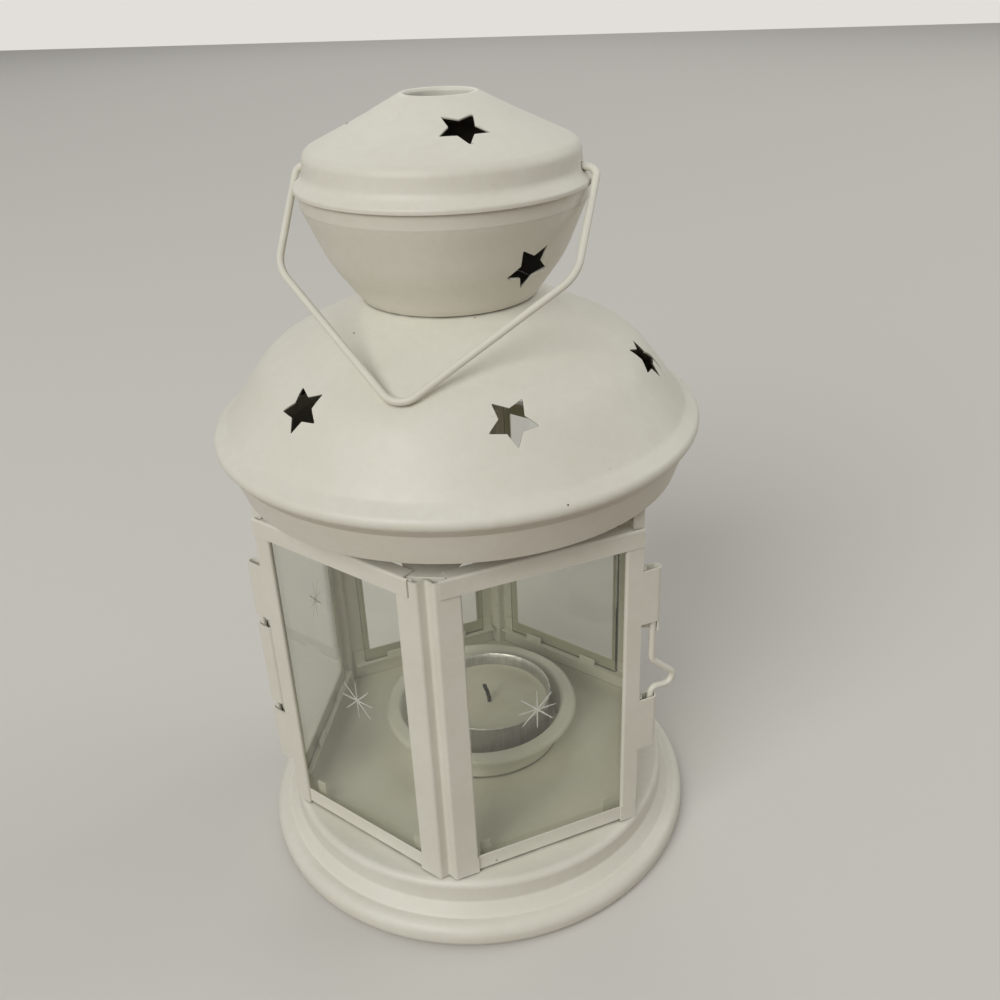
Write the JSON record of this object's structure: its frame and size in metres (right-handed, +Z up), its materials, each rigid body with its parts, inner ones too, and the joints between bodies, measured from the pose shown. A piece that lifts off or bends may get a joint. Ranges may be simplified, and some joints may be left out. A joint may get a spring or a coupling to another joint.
{
  "type": "candle lantern",
  "caption": "Small hexagonal glazed metal candle lantern with a two-sided corner door, a round roof, a chimney with star cut-outs and a wire bail.",
  "frame": {"origin": "centre of the underside of the base, on the surface that the lantern stands on", "axes": "+Z up along the lantern's axis; the corner of the door faces -Y; the hinge is on the -X side and the latch on the +X side"},
  "size_m": [0.1286, 0.1286, 0.2109],
  "materials": {
    "cream_coat": "satin off-white powder coat",
    "pane_glass": "clear float glass, faintly green",
    "tealight_foil": "drawn foil",
    "wax": "waxy, slightly glossy",
    "wick": "charred cotton"
  },
  "bodies": {
    "cage": {"base_pan": "cream_coat", "right_post": "cream_coat", "rear_post": "cream_coat", "left_post": "cream_coat", "hinge_post": "cream_coat", "catch_post": "cream_coat", "roof_ring": "cream_coat", "roof_dome": "cream_coat", "chimney_bowl": "cream_coat", "chimney_cap": "cream_coat", "hinge_pin": "cream_coat", "bottom_rail_right": "cream_coat", "top_rail_right": "cream_coat", "pane_right": "pane_glass", "bottom_rail_rear_right": "cream_coat", "top_rail_rear_right": "cream_coat", "pane_rear_right": "pane_glass", "bottom_rail_rear_left": "cream_coat", "top_rail_rear_left": "cream_coat", "pane_rear_left": "pane_glass", "bottom_rail_left": "cream_coat", "top_rail_left": "cream_coat", "pane_left": "pane_glass"},
    "door": {"door_corner_post": "cream_coat", "door_hinge_stile": "cream_coat", "door_latch_stile": "cream_coat", "door_top_rail_left": "cream_coat", "door_top_rail_right": "cream_coat", "door_bottom_rail_left": "cream_coat", "door_bottom_rail_right": "cream_coat", "door_gusset": "cream_coat", "door_pane_left": "pane_glass", "door_pane_right": "pane_glass"},
    "latch": {"latch_wire": "cream_coat"},
    "bail": {"bail_handle": "cream_coat"},
    "dish": {"candle_dish": "cream_coat"},
    "tealight": {"tealight_cup": "tealight_foil", "tealight_wax": "wax", "tealight_wick": "wick", "wick_sustainer": "tealight_foil"}
  },
  "joints": [
    {"name": "door_swing", "type": "hinge", "parent": "cage", "child": "door", "pos_m": [-0.0531, -0.02527, 0.065], "axis": [0, 0, -1], "range_deg": [0, 135]},
    {"name": "latch_turn", "type": "hinge", "parent": "door", "child": "latch", "pos_m": [0.05282, -0.0252, 0.07], "axis": [0, 0, 1], "range_deg": [-120, 60]},
    {"name": "bail_swing", "type": "hinge", "parent": "cage", "child": "bail", "pos_m": [0, 0, 0.1942], "axis": [-0.9949, 0.1011, 0], "range_deg": [0, 263.8]},
    {"name": "dish_lift", "type": "slide", "parent": "cage", "child": "dish", "axis": [0, 0, 1], "range_m": [0, 0.02]},
    {"name": "tealight_lift", "type": "slide", "parent": "dish", "child": "tealight", "axis": [0, 0, 1], "range_m": [0, 0.04]}
  ]
}
